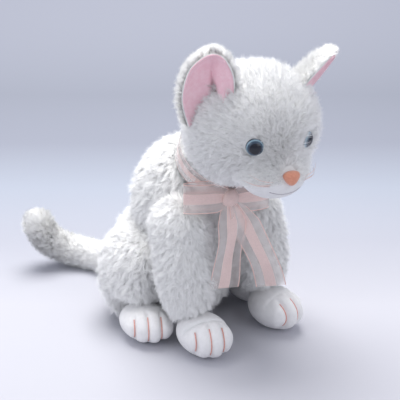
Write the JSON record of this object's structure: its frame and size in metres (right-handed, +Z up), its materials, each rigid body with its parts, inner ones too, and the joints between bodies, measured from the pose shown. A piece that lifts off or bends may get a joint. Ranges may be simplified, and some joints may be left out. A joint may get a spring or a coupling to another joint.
{
  "type": "plush cat",
  "caption": "Seated soft toy cat with shaggy fur, smooth paws and muzzle, domed eyes, cupped ears, a curled tail and a ribbon bow.",
  "frame": {"origin": "middle of the flat seat, on the surface that the cat sits on", "axes": "+Z up, the face looks along -Y, the cat's right side is at -X"},
  "size_m": [0.16, 0.3067, 0.2699],
  "materials": {
    "white_fur": "shaggy long-pile fur fabric",
    "smooth_face_fabric": "short-nap fabric",
    "smooth_paw_fabric": "short-nap fabric",
    "pink_lining": "short-nap fabric",
    "polyester_fibre": "loose fibre filling",
    "pouch_cloth": "plain weave",
    "pellets": "pellets",
    "eye_plastic": "polished",
    "nose_plastic": "satin",
    "washer_plastic": "plain",
    "coral_thread": "embroidery thread",
    "mouth_thread": "thread",
    "whisker_thread": "thread",
    "ribbon": "sheer ribbon with a satin centre stripe"
  },
  "bodies": {
    "torso": {"body_skin_right": "white_fur", "body_skin_left": "white_fur", "body_stuffing": "polyester_fibre", "pellet_pouch": "pouch_cloth", "pellet_fill": "pellets", "thigh_skin_right": "white_fur", "thigh_skin_left": "white_fur", "thigh_stuffing_right": "polyester_fibre", "thigh_stuffing_left": "polyester_fibre", "ribbon_neckband": "ribbon", "ribbon_knot": "ribbon", "ribbon_loop_right": "ribbon", "ribbon_loop_left": "ribbon"},
    "neck": {"neck_skin": "white_fur", "neck_stuffing": "polyester_fibre"},
    "head": {"head_skin": "white_fur", "head_stuffing": "polyester_fibre", "muzzle_panel": "smooth_face_fabric", "eye_right": "eye_plastic", "eye_left": "eye_plastic", "eye_right_washer": "washer_plastic", "eye_left_washer": "washer_plastic", "nose": "nose_plastic", "nose_washer": "washer_plastic", "whiskers_right": "whisker_thread", "whiskers_left": "whisker_thread", "mouth_stitch": "mouth_thread"},
    "ear_right": {"ear_back_right": "white_fur", "ear_lining_right": "pink_lining"},
    "ear_left": {"ear_back_left": "white_fur", "ear_lining_left": "pink_lining"},
    "front_leg_right": {"front_leg_skin_right": "white_fur", "front_leg_stuffing_right": "polyester_fibre", "front_paw_right": "smooth_paw_fabric", "front_toe_stitches_right": "coral_thread"},
    "front_leg_left": {"front_leg_skin_left": "white_fur", "front_leg_stuffing_left": "polyester_fibre", "front_paw_left": "smooth_paw_fabric", "front_toe_stitches_left": "coral_thread"},
    "hind_foot_right": {"hind_paw_right": "smooth_paw_fabric", "hind_paw_stuffing_right": "polyester_fibre", "hind_toe_stitches_right": "coral_thread"},
    "hind_foot_left": {"hind_paw_left": "smooth_paw_fabric", "hind_paw_stuffing_left": "polyester_fibre", "hind_toe_stitches_left": "coral_thread"},
    "tail_base": {"tail_base_skin": "white_fur", "tail_base_stuffing": "polyester_fibre"},
    "tail_tip": {"tail_tip_skin": "white_fur", "tail_tip_stuffing": "polyester_fibre"},
    "ribbon_end_right": {"ribbon_end_right": "ribbon"},
    "ribbon_end_left": {"ribbon_end_left": "ribbon"}
  },
  "joints": [
    {"name": "neck_turn", "type": "hinge", "parent": "torso", "child": "neck", "pos_m": [0, -0.056, 0.156], "axis": [0, -0.5736, 0.8192], "range_deg": [-20, 20]},
    {"name": "neck_nod", "type": "hinge", "parent": "neck", "child": "head", "pos_m": [0, -0.056, 0.156], "axis": [1, 0, 0], "range_deg": [-12, 6]},
    {"name": "ear_fold_right", "type": "hinge", "parent": "head", "child": "ear_right", "pos_m": [-0.0396, -0.0959, 0.2235], "axis": [0.669, -0.2471, 0.701], "range_deg": [-15, 6], "stiffness_Nm_per_rad": 0.03},
    {"name": "ear_fold_left", "type": "hinge", "parent": "head", "child": "ear_left", "pos_m": [0.043, -0.1016, 0.2179], "axis": [0.5965, 0.1594, -0.7866], "range_deg": [-15, 6], "stiffness_Nm_per_rad": 0.03},
    {"name": "shoulder_right", "type": "hinge", "parent": "torso", "child": "front_leg_right", "pos_m": [-0.04, -0.056, 0.102], "axis": [-1, 0, 0], "range_deg": [0, 28]},
    {"name": "shoulder_left", "type": "hinge", "parent": "torso", "child": "front_leg_left", "pos_m": [0.04, -0.056, 0.102], "axis": [-1, 0, 0], "range_deg": [0, 28]},
    {"name": "hind_foot_splay_right", "type": "hinge", "parent": "torso", "child": "hind_foot_right", "pos_m": [-0.054, -0.014, 0.0148], "axis": [0, 0, -1], "range_deg": [0, 22]},
    {"name": "hind_foot_splay_left", "type": "hinge", "parent": "torso", "child": "hind_foot_left", "pos_m": [0.054, -0.014, 0.0148], "axis": [0, 0, 1], "range_deg": [0, 22]},
    {"name": "tail_swing", "type": "hinge", "parent": "torso", "child": "tail_base", "pos_m": [0, 0.05, 0.013], "axis": [0, 0, 1], "range_deg": [-35, 35]},
    {"name": "tail_curl", "type": "hinge", "parent": "tail_base", "child": "tail_tip", "pos_m": [-0.002, 0.084, 0.012], "axis": [1, 0, 0], "range_deg": [0, 35]},
    {"name": "ribbon_swing_right", "type": "hinge", "parent": "torso", "child": "ribbon_end_right", "pos_m": [-0.015, -0.092, 0.122], "axis": [-1, 0, 0], "range_deg": [0, 35]},
    {"name": "ribbon_swing_left", "type": "hinge", "parent": "torso", "child": "ribbon_end_left", "pos_m": [0.0105, -0.086, 0.118], "axis": [-1, 0, 0], "range_deg": [0, 20]}
  ]
}
